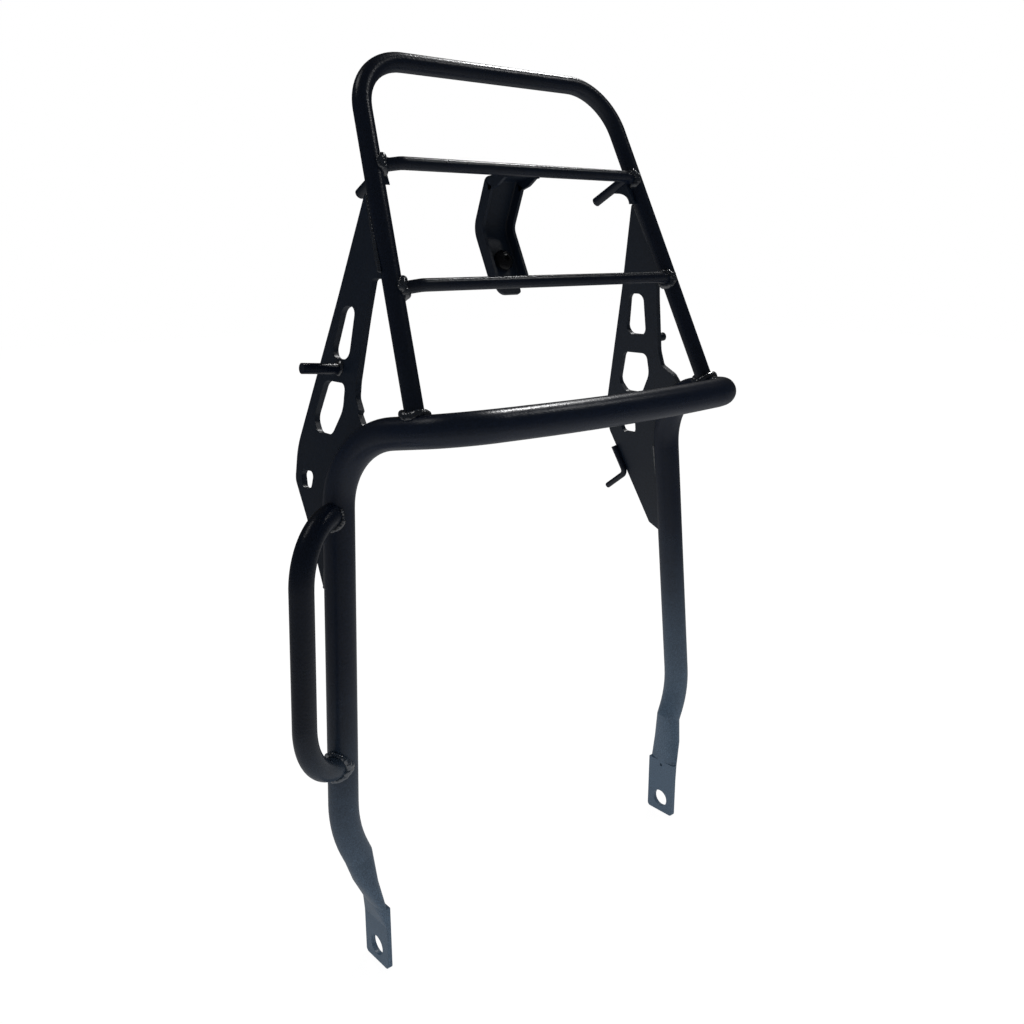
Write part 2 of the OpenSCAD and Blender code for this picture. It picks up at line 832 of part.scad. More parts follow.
// Weld fillet between the upper crossbar and the bracket
module bracket_weld() {
    color("#202429")
    difference() {
        intersection() {
            slab(-bracket_w / 2, bracket_w) bracket_band(-weld_small, bracket_t, 1);
            upper_bar_run(weld_small);
        }
        slab(-bracket_w, 2 * bracket_w) bracket_band(0, bracket_flange, 1);
        upper_bar_run();
    }
}

main_hoop();
rack_frame();
crossbar(bar_upper_z);  // upper_crossbar
crossbar(bar_lower_z);  // lower_crossbar
side_plate(-1);  // left_side_plate
side_plate(1);  // right_side_plate
upper_peg(-1);  // left_upper_peg
upper_peg(1);  // right_upper_peg
peg_gusset(-1);  // left_peg_gusset
peg_gusset(1);  // right_peg_gusset
side_peg(-1);  // left_side_peg
side_peg(1);  // right_side_peg
lashing_hook();
centre_bracket();
lifting_handle();
bracket_screw();
bracket_nut();
frame_foot_welds();
crossbar_welds(bar_upper_z);  // upper_crossbar_welds
crossbar_welds(bar_lower_z);  // lower_crossbar_welds
plate_welds(-1);  // left_plate_welds
plate_welds(1);  // right_plate_welds
side_peg_welds();
handle_welds();
bracket_weld();
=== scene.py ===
# %% [markdown]
# # A welded motorcycle luggage rack
# One tall hoop of 25 mm tube stands on two pressed and drilled feet. A leaning frame of
# thinner tube, two crossbars, slotted side plates, pegs, a hook, a bracket and a lifting
# handle are welded to it, and all of it is powder coated satin black. The solids come from
# the CAD model and are neither moved nor resized. This notebook gives them their finish,
# lays lumpy beads over the joints, puts finer pieces in place of the bracket, its screw and
# the two gussets, and sets the camera, the floor and the lamps.

# %% Start: load the solids
import bmesh
import bpy
import math
from mathutils import Matrix, Vector


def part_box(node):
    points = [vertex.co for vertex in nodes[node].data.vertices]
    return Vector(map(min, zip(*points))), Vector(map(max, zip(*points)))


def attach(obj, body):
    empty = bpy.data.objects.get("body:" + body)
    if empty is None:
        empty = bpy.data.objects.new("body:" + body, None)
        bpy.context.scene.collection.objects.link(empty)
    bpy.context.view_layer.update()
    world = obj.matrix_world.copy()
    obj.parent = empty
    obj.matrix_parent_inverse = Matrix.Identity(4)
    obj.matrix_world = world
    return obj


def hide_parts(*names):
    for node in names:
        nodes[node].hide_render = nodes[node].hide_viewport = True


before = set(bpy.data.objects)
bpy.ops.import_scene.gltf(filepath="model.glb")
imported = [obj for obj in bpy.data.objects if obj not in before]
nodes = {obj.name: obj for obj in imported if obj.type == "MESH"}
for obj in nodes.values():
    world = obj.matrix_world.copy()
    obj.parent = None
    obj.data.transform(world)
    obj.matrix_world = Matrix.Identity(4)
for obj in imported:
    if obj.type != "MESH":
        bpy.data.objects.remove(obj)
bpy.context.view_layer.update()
MM = 0.001
print("solids loaded:", len(nodes))

# %% [markdown]
# ## Helpers
# A colour is written as the sRGB hex value that the eye sees, and one function turns it to
# the linear value that a shader wants. Another adds a node with its settings and links, so
# that each tree below reads as a list of its steps.

# %% A colour, and a node with its settings and links
def colour(hex_value):
    parts = [int(hex_value[i:i + 2], 16) / 255 for i in (1, 3, 5)]
    return [p / 12.92 if p <= 0.04045 else ((p + 0.055) / 1.055) ** 2.4 for p in parts] + [1.0]


def add(tree, kind, settings=(), **links):
    """Add a node. A link's key is its socket's name, with _ for a space, or i and its number."""
    node = tree.nodes.new(kind)
    for key, value in dict(settings).items():
        setattr(node, key, value)
    for key, value in links.items():
        name = key.replace("_", " ")
        socket = node.inputs[int(name[1:])] if name[1:].isdigit() else node.inputs[name]
        if isinstance(value, bpy.types.NodeSocket):
            tree.links.new(value, socket)
        else:
            socket.default_value = value
    return node


def spread(tree, value, low, high, to_low, to_high, smooth=False):
    """Map a value from one range to another."""
    kind = "SMOOTHSTEP" if smooth else "LINEAR"
    return add(tree, "ShaderNodeMapRange", {"interpolation_type": kind}, i0=value, i1=low,
               i2=high, i3=to_low, i4=to_high).outputs[0]


def empty_tree(owner):
    """Give a material or a world an empty node tree."""
    owner.use_nodes = True
    owner.node_tree.nodes.clear()
    return owner.node_tree


HOOP_BLACK = "#0a1322"
print("satin black of the hoop, linear:", [round(c, 4) for c in colour(HOOP_BLACK)])

# %% [markdown]
# ## Colour of the satin black powder coat
# Powder coat is a polymer powder that is melted onto the steel. The black has a touch of
# blue, and fine grains in it are lighter and darker. The lower legs are painted a lighter
# slate than the rest: a painted reflection of the bright floor, which their skin mirrors. A
# picture could carry that fade, but a rule is enough here. The colour runs from slate to
# black with the height, a little higher up on the right leg than on the left one, as the
# light falls there, and soft clouds make its edge uneven.

# %% Black with a painted floor reflection that fades to slate
# Painted reflection: the slate paints the bright floor's sheen low on the legs.
FLOOR_SHEEN_SLATE = "#46586a"
SHEEN_LOW, SHEEN_TOP = 0.030, 0.330  # metres above the foot holes
SHEEN_TILT = -0.17  # the slate climbs 0.17 m for each metre to the right
SHEEN_WAVER = 0.05  # metres by which the clouds can shift it
GRAIN_SIZE = 0.9 * MM  # one pixel of the picture, while a real grain is about 0.1 mm
GRAIN_RANGE, GRAIN_TINT = (0.35, 0.70), (0.70, 1.50)


def coat_colour_with_sheen(tree, place, clouds, black, slate):
    axes = add(tree, "ShaderNodeSeparateXYZ", Vector=place).outputs
    tilted = add(tree, "ShaderNodeMath", {"operation": "MULTIPLY_ADD"}, i0=axes["X"],
                 i1=SHEEN_TILT, i2=axes["Z"])
    uneven = add(tree, "ShaderNodeMath", {"operation": "MULTIPLY_ADD"}, i0=clouds,
                 i1=SHEEN_WAVER, i2=tilted.outputs[0])
    # Painted reflection: the floor's slate sheen is mixed in below, black above.
    height = spread(tree, uneven.outputs[0], SHEEN_LOW, SHEEN_TOP, 0.0, 1.0, smooth=True)
    base = add(tree, "ShaderNodeMix", {"data_type": "RGBA"}, Factor=height,
               i6=colour(slate), i7=colour(black))
    grains = add(tree, "ShaderNodeTexNoise", Vector=place, Scale=1 / GRAIN_SIZE, Detail=2.0)
    speckle = spread(tree, grains.outputs[0], *GRAIN_RANGE, *GRAIN_TINT)
    tinted = add(tree, "ShaderNodeMix", {"data_type": "RGBA", "blend_type": "MULTIPLY"},
                 Factor=1.0, i6=base.outputs[2], i7=speckle)
    return tinted.outputs[2]


print("fade from slate to black over, mm:", round((SHEEN_TOP - SHEEN_LOW) / MM))

# %% [markdown]
# ## Skin of the coat
# The melted powder levels into a skin about 0.08 mm thick that keeps a faint orange peel, so
# that a highlight breaks up into soft grains. A bump draws the peel. Its waves are 1.3 to
# 1.9 mm across, a little coarser than the real ones, because a picture of the whole rack
# couldn't show those. Over a weld the skin also follows the lumps of the bead. On the cut
# plates a bevel in the shader catches the light along the edges, where the coat rounds them.

# %% Peel, lumps and soft edges
PEEL_STRENGTH = 0.6
EDGE_SAMPLES = 4


def coat_bump(tree, place, peel_mm, peel_depth, edge_mm, lumps_mm, lumps_depth):
    peel = add(tree, "ShaderNodeTexNoise", Vector=place, Scale=1 / (peel_mm * MM), Detail=1.5)
    bump = add(tree, "ShaderNodeBump", Strength=PEEL_STRENGTH, Distance=peel_depth * MM,
               Height=peel.outputs[0])
    if lumps_depth:
        lumps = add(tree, "ShaderNodeTexNoise", Vector=place, Scale=1 / (lumps_mm * MM),
                    Detail=2.0)
        rough = add(tree, "ShaderNodeBump", Distance=lumps_depth * MM, Height=lumps.outputs[0])
        tree.links.new(rough.outputs[0], bump.inputs["Normal"])
    if edge_mm:
        edge = add(tree, "ShaderNodeBevel", {"samples": EDGE_SAMPLES}, Radius=edge_mm * MM)
        tree.links.new(edge.outputs[0], bump.inputs["Normal"])
    return bump.outputs[0]


print("share of the peel's bump that shows:", PEEL_STRENGTH)

# %% [markdown]
# ## One recipe, five coats
# Colour, skin and gloss come together in one recipe. The IOR is 1.5, as for most polymers,
# and the gloss changes slowly over clouds of 45 mm, as a hand-held spray gun leaves it. The
# coat is the same powder everywhere, but it levels well on tubes and bars, stays rougher on
# the flat plates and pools on the weld beads, which look wet. So each kind of piece has its
# own dials. The wet look of the beads is a clear layer with a high IOR, set on the shader's
# own sockets.

# %% The recipe and its coats
COAT_IOR = 1.5
CLOUD_SIZE = 45 * MM
CLOUD_RANGE, GLOSS_SWING = (0.3, 0.7), (-0.04, 0.05)
WET_LOOK = {"Specular IOR Level": 1.0, "Coat Weight": 1.0, "Coat Roughness": 0.12,
            "Coat IOR": 2.2}


# slate is the colour of the painted floor reflection low on the legs.
def powder_coat(name, black, roughness, peel_mm=1.9, peel_depth=0.20, edge_mm=0.0,
                lumps_mm=0.0, lumps_depth=0.0, slate=FLOOR_SHEEN_SLATE):
    mat = bpy.data.materials.new(name)
    tree = empty_tree(mat)
    coat = add(tree, "ShaderNodeBsdfPrincipled", IOR=COAT_IOR)
    add(tree, "ShaderNodeOutputMaterial", Surface=coat.outputs[0])
    place = add(tree, "ShaderNodeTexCoord").outputs["Object"]
    clouds = add(tree, "ShaderNodeTexNoise", Vector=place, Scale=1 / CLOUD_SIZE, Detail=4.0,
                 Roughness=0.6).outputs[0]
    satin = spread(tree, clouds, *CLOUD_RANGE, *(roughness + swing for swing in GLOSS_SWING))
    tree.links.new(coat_colour_with_sheen(tree, place, clouds, black, slate), coat.inputs["Base Color"])
    tree.links.new(satin, coat.inputs["Roughness"])
    tree.links.new(coat_bump(tree, place, peel_mm, peel_depth, edge_mm, lumps_mm, lumps_depth),
                   coat.inputs["Normal"])
    return mat


def set_sockets(mat, amounts):
    for socket, amount in amounts.items():
        mat.node_tree.nodes["Principled BSDF"].inputs[socket].default_value = amount


coat_on_hoop = powder_coat("satin_powder_coat_on_hoop", HOOP_BLACK, 0.30, peel_depth=0.25)
coat_on_tube = powder_coat("satin_powder_coat_on_frame_tube", "#080f1b", 0.27, peel_depth=0.3)
coat_on_plate = powder_coat("satin_powder_coat_on_cut_plate", "#0b1522", 0.38, edge_mm=0.4)
coat_on_rod = powder_coat("satin_powder_coat_on_round_bar", "#080f1b", 0.27, peel_mm=1.3)
coat_on_weld = powder_coat("powder_coat_over_weld_bead", "#10161f", 0.12, peel_mm=0.7,
                           lumps_mm=1.5, lumps_depth=0.25)
set_sockets(coat_on_weld, WET_LOOK)
print("coats made:", [m.name for m in bpy.data.materials if "powder_coat" in m.name])

# %% [markdown]
# ## Black zinc on the fasteners
# The screw and nut of the bracket are steel plated with black zinc. The film is an oxide, a
# touch browner and sharper in its highlights than the coat around it, so it is the same
# recipe with a finer, shallower peel and some metal under it. It gets no painted floor sheen.

# %% The fasteners' finish
ZINC_BLACK = "#0c0d10"
black_zinc = powder_coat("black_zinc_plate_on_screw", ZINC_BLACK, 0.22, peel_mm=0.6,
                         peel_depth=0.01, slate=ZINC_BLACK)
set_sockets(black_zinc, {"Metallic": 0.3})
print("finish of screw and nut:", black_zinc.name)

# %% [markdown]
# ## The solids take their finishes
# Most solids are already the right shape, so each one only changes the material in its
# slot. Round bars, pegs and the hook are what is left when the others are named.

# %% Give each solid its finish
FINISHES = {
    "main_hoop": coat_on_hoop,
    "rack_frame": coat_on_tube,
    "lifting_handle": coat_on_tube,
    "left_side_plate": coat_on_plate,
    "right_side_plate": coat_on_plate,
    "left_peg_gusset": coat_on_plate,
    "right_peg_gusset": coat_on_plate,
    "centre_bracket": coat_on_plate,
    "bracket_screw": black_zinc,
    "bracket_nut": black_zinc,
}
for name, solid in nodes.items():
    finish = FINISHES.get(name, coat_on_weld if "weld" in name else coat_on_rod)
    if not solid.material_slots:
        solid.data.materials.append(finish)
    for slot in solid.material_slots:
        slot.material = finish
print("solids finished:", len(nodes))

# %% [markdown]
# ## Weld beads
# The real joints are MIG welds: a wire melts into a bead that swells a little over both
# pieces and freezes in lumps, and the coat makes those lumps shine. The CAD model has plain
# fillets there, in the right places. A bead could be swept along each seam, but the seams
# are saddles, ellipses and coped lines, and the fillets already follow them. So a copy of
# each fillet is cut into fine even grains by a voxel remesh, and Geometry Nodes then round
# it, swell it and push it in and out by a noise, as the molten wire does.

# %% The node tree of a bead
BEAD_INPUTS = (
    ("Rounding", "NodeSocketInt", 6),             # rounds of blur on the fillet's edges
    ("Swell", "NodeSocketFloat", 0.4 * MM),       # how far the bead stands proud
    ("Lump Size", "NodeSocketFloat", 3.2 * MM),   # from one frozen drop to the next
    ("Lump Depth", "NodeSocketFloat", 0.9 * MM),  # from the tops to the dips between them
    ("Seed", "NodeSocketFloat", 1.0),
    ("Finish", "NodeSocketMaterial", None),
)


def bead_tree():
    tree = bpy.data.node_groups.new("lumpy_weld_bead", "GeometryNodeTree")
    tree.interface.new_socket("Geometry", in_out="INPUT", socket_type="NodeSocketGeometry")
    for label, kind, value in BEAD_INPUTS:
        socket = tree.interface.new_socket(label, in_out="INPUT", socket_type=kind)
        if value is not None:
            socket.default_value = value
    tree.interface.new_socket("Geometry", in_out="OUTPUT", socket_type="NodeSocketGeometry")
    given = add(tree, "NodeGroupInput").outputs
    where = add(tree, "GeometryNodeInputPosition").outputs[0]
    soft = add(tree, "GeometryNodeBlurAttribute", {"data_type": "FLOAT_VECTOR"}, Value=where,
               Iterations=given["Rounding"])
    rounded = add(tree, "GeometryNodeSetPosition", Geometry=given["Geometry"],
                  Position=soft.outputs[0])
    scale = add(tree, "ShaderNodeMath", {"operation": "DIVIDE"}, i0=1.0, i1=given["Lump Size"])
    noise = add(tree, "ShaderNodeTexNoise", {"noise_dimensions": "4D"}, Vector=where,
                W=given["Seed"], Scale=scale.outputs[0], Detail=1.0)
    centred = add(tree, "ShaderNodeMath", {"operation": "SUBTRACT"}, i0=noise.outputs[0], i1=0.5)
    lump = add(tree, "ShaderNodeMath", {"operation": "MULTIPLY_ADD"}, i0=centred.outputs[0],
               i1=given["Lump Depth"], i2=given["Swell"])
    normal = add(tree, "GeometryNodeInputNormal").outputs[0]
    push = add(tree, "ShaderNodeVectorMath", {"operation": "SCALE"}, i0=normal,
               Scale=lump.outputs[0])
    swollen = add(tree, "GeometryNodeSetPosition", Geometry=rounded.outputs[0],
                  Offset=push.outputs[0])
    smooth = add(tree, "GeometryNodeSetShadeSmooth", Geometry=swollen.outputs[0])
    real = add(tree, "GeometryNodeRealizeInstances", Geometry=smooth.outputs[0])
    dressed = add(tree, "GeometryNodeSetMaterial", Geometry=real.outputs[0],
                  Material=given["Finish"])
    add(tree, "NodeGroupOutput", Geometry=dressed.outputs[0])
    return tree


BEAD_TREE = bead_tree()
BEAD_SOCKETS = {i.name: i.identifier for i in BEAD_TREE.interface.items_tree
                if i.in_out == "INPUT"}
print("inputs of a bead:", list(BEAD_SOCKETS))

# %% [markdown]
# A modifier's inputs are set by their identifiers before the object is first evaluated. A
# plain mesh comes out of the modifiers through `new_from_object`. Each bead then stands for
# its fillet: it rides on the same body, and the fillet is hidden.

# %% One bead
GRAIN = 0.5 * MM
MERGE_DISTANCE = 1e-6


def stand_for(piece, node_name):
    """Link a finished piece and let it stand for a solid."""
    bpy.context.scene.collection.objects.link(piece)
    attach(piece, "root")
    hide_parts(node_name)


def weld_bead(node_name, seed, swell_mm, depth_mm):
    mesh = nodes[node_name].data.copy()
    joined = bmesh.new()
    joined.from_mesh(mesh)
    bmesh.ops.remove_doubles(joined, verts=joined.verts, dist=MERGE_DISTANCE)
    joined.to_mesh(mesh)
    joined.free()
    blank = bpy.data.objects.new("blank_bead", mesh)
    bpy.context.scene.collection.objects.link(blank)
    cut = blank.modifiers.new("even grains", "REMESH")
    cut.mode = "VOXEL"
    cut.voxel_size = GRAIN
    lay = blank.modifiers.new("weld bead", "NODES")
    lay.node_group = BEAD_TREE
    inputs = {"Swell": swell_mm * MM, "Lump Depth": depth_mm * MM, "Seed": seed,
              "Finish": coat_on_weld}
    for label, value in inputs.items():
        lay[BEAD_SOCKETS[label]] = value
    shape = bpy.data.meshes.new_from_object(
        blank.evaluated_get(bpy.context.evaluated_depsgraph_get()))
    bpy.data.objects.remove(blank)
    stand_for(bpy.data.objects.new(node_name + "_bead", shape), node_name)
    return len(shape.polygons)


print("grain of a bead, mm:", GRAIN / MM)

# %% [markdown]
# The arc stays longer where two tubes meet, so those beads are fat and lumpy. Along the
# plates and at the bracket the seams are thin.

# %% Lay the beads
BEADS = {
    "frame_foot_welds": dict(swell_mm=2.0, depth_mm=2.6),
    "upper_crossbar_welds": dict(swell_mm=2.4, depth_mm=3.0),
    "lower_crossbar_welds": dict(swell_mm=2.4, depth_mm=3.0),
    "left_plate_welds": dict(swell_mm=0.3, depth_mm=0.8),
    "right_plate_welds": dict(swell_mm=0.3, depth_mm=0.8),
    "side_peg_welds": dict(swell_mm=0.5, depth_mm=0.9),
    "handle_welds": dict(swell_mm=1.1, depth_mm=2.0),
    "bracket_weld": dict(swell_mm=0.2, depth_mm=0.6),
}
for seed, (node_name, dials) in enumerate(BEADS.items()):
    print(node_name, "faces:", weld_bead(node_name, float(seed + 1), **dials))

# %% [markdown]
# ## Pieces with a finer shape than their solids
# Bracket, screw and gussets get a mesh of their own. Each is built at its solid's place,
# rides on the same body and stands for the solid in the picture. All of them are rows of
# rings with a skin between, so one helper skins rings and another finishes the piece.

# %% Rings to skin, and a finished piece
def join_rings(maker, rings):
    """Skin a row of rings that have as many points each, and cap both ends."""
    rows = [[maker.verts.new(p) for p in ring] for ring in rings]
    for a, b in zip(rows, rows[1:]):
        for i in range(len(a)):
            j = (i + 1) % len(a)
            maker.faces.new((a[i], a[j], b[j], b[i]))
    maker.faces.new(rows[0])
    maker.faces.new(rows[-1])


def finish_piece(maker, name, node_name, finish):
    """Turn a bmesh's faces outwards and let the piece stand for its solid."""
    bmesh.ops.recalc_face_normals(maker, faces=maker.faces)
    mesh = bpy.data.meshes.new(name)
    maker.to_mesh(mesh)
    maker.free()
    mesh.materials.append(finish)
    stand_for(bpy.data.objects.new(name, mesh), node_name)
    return len(mesh.polygons)


print("side rings are joined by quads, ends by one face each")

# %% [markdown]
# ## Bracket
# The bracket is a channel pressed from 3 mm sheet: a web with two flanges, bent twice, that
# ends in a narrow tongue with round corners. The solid has sharp folds. It could be bevelled,
# but a press rounds its folds along the sheet only. So the same section is swept down a line
# here, with the folds rounded as the press leaves them, and the flanges grow from the
# crossbar to their full depth. The line is the solid's, moved back by up to 3.6 mm at the
# folds, as the photograph shows them.

# %% The bracket's line
# Points of the web's outer face from the crossbar down, as (y, z) in mm.
BRACKET_LINE = [Vector(p) * MM for p in ((20.56, 649.0), (49.2, 646.0), (66.2, 603.5),
                                         (39.8, 548.5))]
FOLD_CUTS = {1: 4 * MM, 2: 10 * MM}  # where each fold's curve starts before its corner
FOLD_STEPS = 8
FLANGE_TOP, FLANGE = 4.8 * MM, 12 * MM
FLANGE_GROWS = (3 * MM, 17 * MM)  # the run along which the flanges grow
EXTRA_STATIONS = (3 * MM, 6 * MM, 9 * MM, 12 * MM)
TONGUE_WIDTH, TONGUE_START, TONGUE_END = 25 * MM, 49 * MM, 62.2 * MM


def bracket_stations():
    """Places down the bracket's outer line, with the way along it."""
    found = [BRACKET_LINE[0]]
    for i, cut in FOLD_CUTS.items():
        corner = BRACKET_LINE[i]
        before = corner + (BRACKET_LINE[i - 1] - corner).normalized() * cut
        after = corner + (BRACKET_LINE[i + 1] - corner).normalized() * cut
        for step in range(FOLD_STEPS + 1):
            t = step / FOLD_STEPS
            found.append((1 - t) ** 2 * before + 2 * t * (1 - t) * corner + t ** 2 * after)
    end_way = (BRACKET_LINE[3] - found[-1]).normalized()
    found.append(BRACKET_LINE[2] + end_way * TONGUE_START)
    start_way = (found[1] - found[0]).normalized()
    found[1:1] = [found[0] + start_way * d for d in EXTRA_STATIONS]
    ways = [(b - a).normalized() for a, b in zip([found[0]] + found[:-1], found[1:] + [found[-1]])]
    return list(zip(found, ways))


print("bracket stations:", len(bracket_stations()))

# %% [markdown]
# The section is written as points across the web and inwards from its outer face, in one
# closed row. Its outer corners are pressed round, and its inner ones are nearly sharp.

# %% The channel's section at a station
BRACKET_WIDTH, SHEET = 37 * MM, 3 * MM
PRESS_RADIUS, INNER_RADIUS = 2.2 * MM, 0.8 * MM
PRESS_STEPS = 4


def channel_section(depth):
    """Points (across, inwards) of the channel, with pressed outer corners."""
    half = BRACKET_WIDTH / 2
    turns = [math.pi / 2 * k / PRESS_STEPS for k in range(PRESS_STEPS + 1)]
    right_half = [(half, depth)]
    right_half += [(half - PRESS_RADIUS * (1 - math.cos(a)), PRESS_RADIUS * (1 - math.sin(a)))
                   for a in turns]
    inner = [(half - SHEET, depth), (half - SHEET, SHEET + INNER_RADIUS),
             (half - SHEET - INNER_RADIUS, SHEET)]
    left_half = [(-x, d) for x, d in reversed(right_half)]
    return right_half + left_half + [(-x, d) for x, d in inner] + list(reversed(inner))


def bracket_point(place, way, across, inwards):
    """Turn a point of the section to x, y and z."""
    inner = Vector((way.y, -way.x))
    spot = place + inner * inwards
    return Vector((across, spot.x, spot.y))


print("points round the section:", len(channel_section(FLANGE)))

# %% [markdown]
# Each station gets its section, with flanges as deep as the run down the line allows. The
# tongue is the web alone, cut narrower. Its outline is skinned through the sheet's thickness.

# %% Sweep the channel and add the tongue
TONGUE_LAP = 2 * MM
TONGUE_CORNERS = ((-1, 8 * MM), (1, 3 * MM))  # side and radius
CORNER_STEPS = 6


def tongue_outline():
    """Points (across, run) of the tongue, which starts inside the web."""
    half, start = TONGUE_WIDTH / 2, TONGUE_START - TONGUE_LAP
    points = [(half, start), (-half, start)]
    turns = [math.pi / 2 * k / CORNER_STEPS for k in range(CORNER_STEPS + 1)]
    for side, radius in TONGUE_CORNERS:
        corner = [(side * (half - radius + radius * math.cos(a)),
                   TONGUE_END - radius + radius * math.sin(a)) for a in turns]
        points += corner if side < 0 else corner[::-1]
    return points


maker = bmesh.new()
rings, run, last = [], 0.0, None
for place, way in bracket_stations():
    run += (place - last).length if last else 0.0
    last = place
    grown = min(max((run - FLANGE_GROWS[0]) / (FLANGE_GROWS[1] - FLANGE_GROWS[0]), 0.0), 1.0)
    depth = FLANGE_TOP + (FLANGE - FLANGE_TOP) * grown
    rings.append([bracket_point(place, way, x, d) for x, d in channel_section(depth)])
join_rings(maker, rings)
low_way = (BRACKET_LINE[3] - BRACKET_LINE[2]).normalized()
join_rings(maker, [[bracket_point(BRACKET_LINE[2] + low_way * run, low_way, x, d)
                    for x, run in tongue_outline()] for d in (0.0, SHEET)])
print("bracket faces:", finish_piece(maker, "pressed_bracket", "centre_bracket",
                                     coat_on_plate))

# %% [markdown]
# ## Screw
# The screw through the bracket has a wide domed head with a hexagon socket. A lathe makes
# all of it but the socket, so its rings are drawn by one function of the turn, and the two
# rings of the socket follow a hexagon in place of a circle. The head stays where the solid
# screw's is. As the web above is swept further back, 2.7 mm of the shank show between them.

# %% Turn the screw
SCREW_SPOT = Vector((0, 46.92, 576.57)) * MM
SCREW_WAY = Vector((0, -0.9091, 0.4165))
HEAD_RADIUS, HEAD_RIM, DOME = 9.2 * MM, 1.1 * MM, 5.2 * MM
DOME_STEPS, DOME_STEP, SOCKET_RIM = 8, math.radians(9.5), math.radians(72)
SHANK_RADIUS, SHANK_LENGTH, CHAMFER = 4 * MM, 16 * MM, 0.8 * MM
SOCKET_FLATS, SOCKET_DEPTH = 5 * MM, 2.6 * MM
SEAT_GAP = 0.05 * MM
TURNS = 48


def screw_ring(radius, height, hexagon=False):
    up = SCREW_WAY.normalized()
    across = Vector((1, 0, 0))
    other = up.cross(across)
    ring = []
    for k in range(TURNS):
        a = 2 * math.pi * k / TURNS
        bend = math.cos((a % (math.pi / 3)) - math.pi / 6) if hexagon else 1.0
        ring.append(SCREW_SPOT + up * height
                    + (across * math.cos(a) + other * math.sin(a)) * radius / bend)
    return ring


top = HEAD_RIM + DOME * math.sin(SOCKET_RIM)
rings = [screw_ring(SHANK_RADIUS - CHAMFER, -SHANK_LENGTH),
         screw_ring(SHANK_RADIUS, -SHANK_LENGTH + CHAMFER),
         screw_ring(SHANK_RADIUS, SEAT_GAP), screw_ring(HEAD_RADIUS, SEAT_GAP)]
rings += [screw_ring(HEAD_RADIUS * math.cos(a), HEAD_RIM + DOME * math.sin(a))
          for a in (DOME_STEP * k for k in range(DOME_STEPS))]
rings += [screw_ring(SOCKET_FLATS / 2, top, hexagon=True),
          screw_ring(SOCKET_FLATS / 2, top - SOCKET_DEPTH, hexagon=True)]
maker = bmesh.new()
join_rings(maker, rings)
print("screw faces:", finish_piece(maker, "domed_screw", "bracket_screw",
                                   black_zinc))

# %% [markdown]
# ## Peg gussets
# Beside each upper peg a small web fills the corner under the crossbar. Its lower edge is a
# hollow curve from the peg to the side tube, and its front edge runs down the leaning tube,
# into which it is let a little, so that no gap shows from any side. The left one is shorter.

# %% Cut the gussets
# All points are (y, z) in mm from the corner between crossbar and tube.
GUSSET_CORNER = Vector((27.54, 647.0)) * MM
GUSSET_TOP = [(2, 4), (15, -9.5)]
GUSSET_HOLLOW = [(14, -11), (-3.5, -11)]
GUSSET_FOOT = -5.0
HOLLOW_STEPS = 10
TUBE_LEAN = 0.4306
LET_IN = 1.2 * MM
GUSSETS = {"left_peg_gusset": (-1, 13.0), "right_peg_gusset": (1, 21.0)}  # side and drop


def gusset_outline(drop):
    a, b = (Vector(p) for p in GUSSET_HOLLOW)
    c = Vector((GUSSET_FOOT, -drop))
    hollow = [(1 - t) ** 2 * a + 2 * t * (1 - t) * b + t ** 2 * c
              for t in (k / HOLLOW_STEPS for k in range(HOLLOW_STEPS + 1))]
    tube = [Vector((-TUBE_LEAN * d, -d)) for d in (drop, drop / 2)]
    return [Vector(p) for p in GUSSET_TOP] + hollow + tube


for name, (side, drop) in GUSSETS.items():
    low_corner, high_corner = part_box(name)
    inner, outer = sorted((abs(low_corner[0]), abs(high_corner[0])))
    maker = bmesh.new()
    join_rings(maker, [[Vector((side * x, GUSSET_CORNER.x + p.x * MM, GUSSET_CORNER.y + p.y * MM))
                        for p in gusset_outline(drop)] for x in (inner, outer + LET_IN)])
    finish_piece(maker, name.replace("peg_gusset", "hollow_gusset"), name,
                 coat_on_plate)
    print(name, "thickness, mm:", round((outer - inner) / MM, 2))

# %% [markdown]
# ## Camera
# The view comes from the photograph's own vanishing lines: 40 degrees round to the left of
# the rack's front and 15 degrees down, through a lens of about 35 mm. The pixels were
# counted from their middles, so the frame is shifted by half a pixel.

# %% Set the camera
YAW, PITCH, ROLL = 0.7006, 0.2627, 0.0031
FOCAL_PX, FRAME_PX = 992.04, 1024
HALF_PIXEL = 0.5 / FRAME_PX
NEAREST = 0.05
SPOT = Vector((-0.5710, -0.6419, 0.5892))
forward = Vector((math.sin(YAW) * math.cos(PITCH), math.cos(YAW) * math.cos(PITCH),
                  -math.sin(PITCH)))
level = Vector((math.cos(YAW), -math.sin(YAW), 0))
down = forward.cross(level)
right = math.cos(ROLL) * level + math.sin(ROLL) * down
lower = -math.sin(ROLL) * level + math.cos(ROLL) * down
lens = bpy.data.cameras.new("photo_view")
camera = bpy.data.objects.new("photo_view", lens)
bpy.context.scene.collection.objects.link(camera)
turned = Matrix((right, -lower, -forward)).transposed().to_4x4()
camera.matrix_world = Matrix.Translation(SPOT) @ turned
lens.sensor_width = 36
lens.lens = FOCAL_PX / FRAME_PX * lens.sensor_width
lens.shift_x, lens.shift_y = -HALF_PIXEL, HALF_PIXEL
lens.clip_start = NEAREST
bpy.context.scene.camera = camera
print("camera lens, mm:", round(lens.lens, 2))

# %% [markdown]
# ## Paper floor
# The rack stands on white paper. It is drawn by its own glow, with a share of plain white
# diffuse that takes the rack's shadow. Glossy rays see the paper too, but dimmer, and only as
# far as a sheet of paper reaches, so the undersides mirror it and the upper tubes don't.

